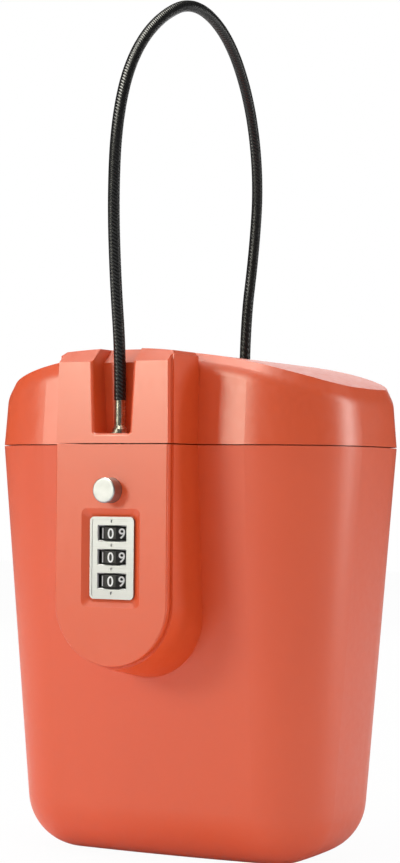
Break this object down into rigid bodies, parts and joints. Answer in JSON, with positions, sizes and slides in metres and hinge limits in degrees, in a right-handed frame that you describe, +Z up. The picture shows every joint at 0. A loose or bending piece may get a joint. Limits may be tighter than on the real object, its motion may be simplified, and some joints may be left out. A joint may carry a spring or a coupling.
{
  "type": "portable safe",
  "caption": "Portable lockable box with a hinged arched lid, a dial combination lock with a push button, and a steel tether cable whose pin locks the lid.",
  "frame": {"origin": "centre of the bottom of the bounding box of the safe without its cable, on the surface that it stands on", "axes": "+Z up; -Y toward the lock housing at the front; +X to the right as seen from the front; the hinge is at +Y"},
  "size_m": [0.18, 0.1596, 0.393],
  "materials": {
    "shell_plastic": "semi-matte moulded coral orange plastic",
    "soft_rubber": "soft black rubber",
    "plate_metal": "satin silver metal",
    "steel": "plain bright steel",
    "pin_steel": "polished plated steel",
    "die_cast": "raw die-cast zinc or aluminium",
    "sleeve_brass": "turned brass",
    "dial_black": "black plastic with white digits",
    "cable_sleeve": "black plastic sleeve over steel strands"
  },
  "bodies": {
    "base": {"body_shell": "shell_plastic", "hinge_pin": "steel", "lock_cover": "shell_plastic", "lock_plate": "plate_metal", "lock_frame": "die_cast", "dial_sleeve_top": "sleeve_brass", "dial_sleeve_middle": "sleeve_brass", "dial_sleeve_bottom": "sleeve_brass", "dial_shaft": "steel", "detent_spring": "steel", "pin_socket": "pin_steel", "latch_spring": "steel", "cover_screws": "steel", "frame_screws": "steel"},
    "lid": {"lid_shell": "shell_plastic", "lid_seal": "soft_rubber", "pin_eyelet": "pin_steel", "cable_bush": "soft_rubber"},
    "cable": {"lock_cable": "cable_sleeve", "lock_pin": "pin_steel", "cable_stop": "pin_steel"},
    "dial_1": {"dial_wheel_top": "dial_black"},
    "dial_2": {"dial_wheel_middle": "dial_black"},
    "dial_3": {"dial_wheel_bottom": "dial_black"},
    "latch": {"push_button": "plate_metal", "latch_plate": "steel"}
  },
  "joints": [
    {"name": "lid_open", "type": "hinge", "parent": "base", "child": "lid", "pos_m": [0, 0.0753, 0.186], "axis": [-1, 0, 0], "range_deg": [0, 105]},
    {"name": "cable_pull", "type": "slide", "parent": "lid", "child": "cable", "axis": [0, 0, 1], "range_m": [0, 0.017]},
    {"name": "dial_1_turn", "type": "hinge", "parent": "base", "child": "dial_1", "pos_m": [0, -0.065, 0.1473], "axis": [0, 0, 1], "continuous": true},
    {"name": "dial_2_turn", "type": "hinge", "parent": "base", "child": "dial_2", "pos_m": [0, -0.065, 0.137], "axis": [0, 0, 1], "continuous": true},
    {"name": "dial_3_turn", "type": "hinge", "parent": "base", "child": "dial_3", "pos_m": [0, -0.065, 0.1267], "axis": [0, 0, 1], "continuous": true},
    {"name": "button_press", "type": "slide", "parent": "base", "child": "latch", "axis": [0, 1, 0], "range_m": [0, 0.0032], "stiffness_N_per_m": 400, "springref_m": -0.004, "deforming": ["latch_spring"]}
  ]
}
